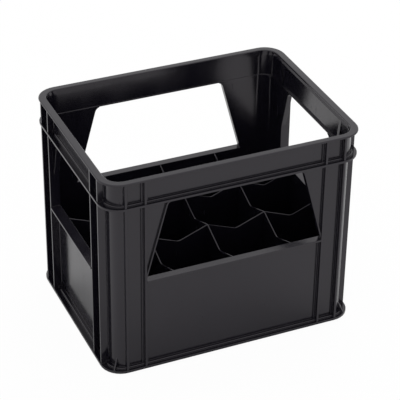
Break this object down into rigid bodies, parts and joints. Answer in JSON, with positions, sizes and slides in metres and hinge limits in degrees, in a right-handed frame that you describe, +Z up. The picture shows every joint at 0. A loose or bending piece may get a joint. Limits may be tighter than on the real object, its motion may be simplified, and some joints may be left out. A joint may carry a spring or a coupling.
{
  "type": "bottle crate",
  "caption": "Open stacking crate for bottles, with a divider grid, a flat rim, a handle window in each wall and a floor with drain openings.",
  "frame": {"origin": "middle of the footprint, on the surface that the crate stands on", "axes": "+X along the crate's length, +Y across it towards the back wall of the picture, +Z up"},
  "size_m": [0.4, 0.3, 0.328],
  "materials": {
    "black_plastic": "semi-gloss moulded black plastic"
  },
  "bodies": {
    "root": {"base_floor": "black_plastic", "corner_post_front_left": "black_plastic", "corner_post_front_right": "black_plastic", "corner_post_back_left": "black_plastic", "corner_post_back_right": "black_plastic", "lower_wall_front": "black_plastic", "lower_wall_back": "black_plastic", "lower_wall_left": "black_plastic", "lower_wall_right": "black_plastic", "handle_beam_front": "black_plastic", "handle_beam_back": "black_plastic", "handle_beam_left": "black_plastic", "handle_beam_right": "black_plastic", "divider_long_front": "black_plastic", "divider_long_back": "black_plastic", "divider_cross_left_front": "black_plastic", "divider_cross_left_centre": "black_plastic", "divider_cross_left_back": "black_plastic", "divider_cross_middle_front": "black_plastic", "divider_cross_middle_centre": "black_plastic", "divider_cross_middle_back": "black_plastic", "divider_cross_right_front": "black_plastic", "divider_cross_right_centre": "black_plastic", "divider_cross_right_back": "black_plastic"}
  },
  "joints": []
}
